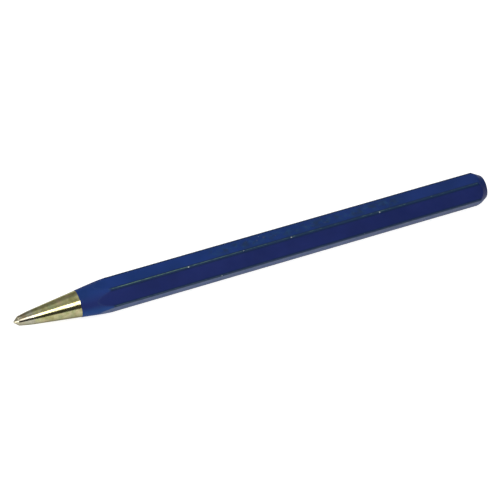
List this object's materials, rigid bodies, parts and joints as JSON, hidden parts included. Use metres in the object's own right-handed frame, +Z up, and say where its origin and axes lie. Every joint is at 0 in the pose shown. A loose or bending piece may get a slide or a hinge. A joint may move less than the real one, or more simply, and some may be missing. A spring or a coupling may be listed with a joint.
{
  "type": "centre punch",
  "caption": "Solid steel centre punch: hexagonal shank with a blue lacquer coat, long bare cone, ground point and chamfered flat struck end.",
  "frame": {"origin": "on the surface that the punch lies on, under the middle of its length and of its width", "axes": "+X along the punch from the point to the struck end; +Z up, out of the flat opposite the one that it lies on; +Y across"},
  "size_m": [0.1524, 0.0108, 0.0096],
  "materials": {
    "bare_steel": "turned and ground, clear",
    "blue_lacquer": "semi-gloss dipped lacquer"
  },
  "bodies": {
    "root": {"punch_body": "bare_steel", "paint_coat": "blue_lacquer"}
  },
  "joints": []
}
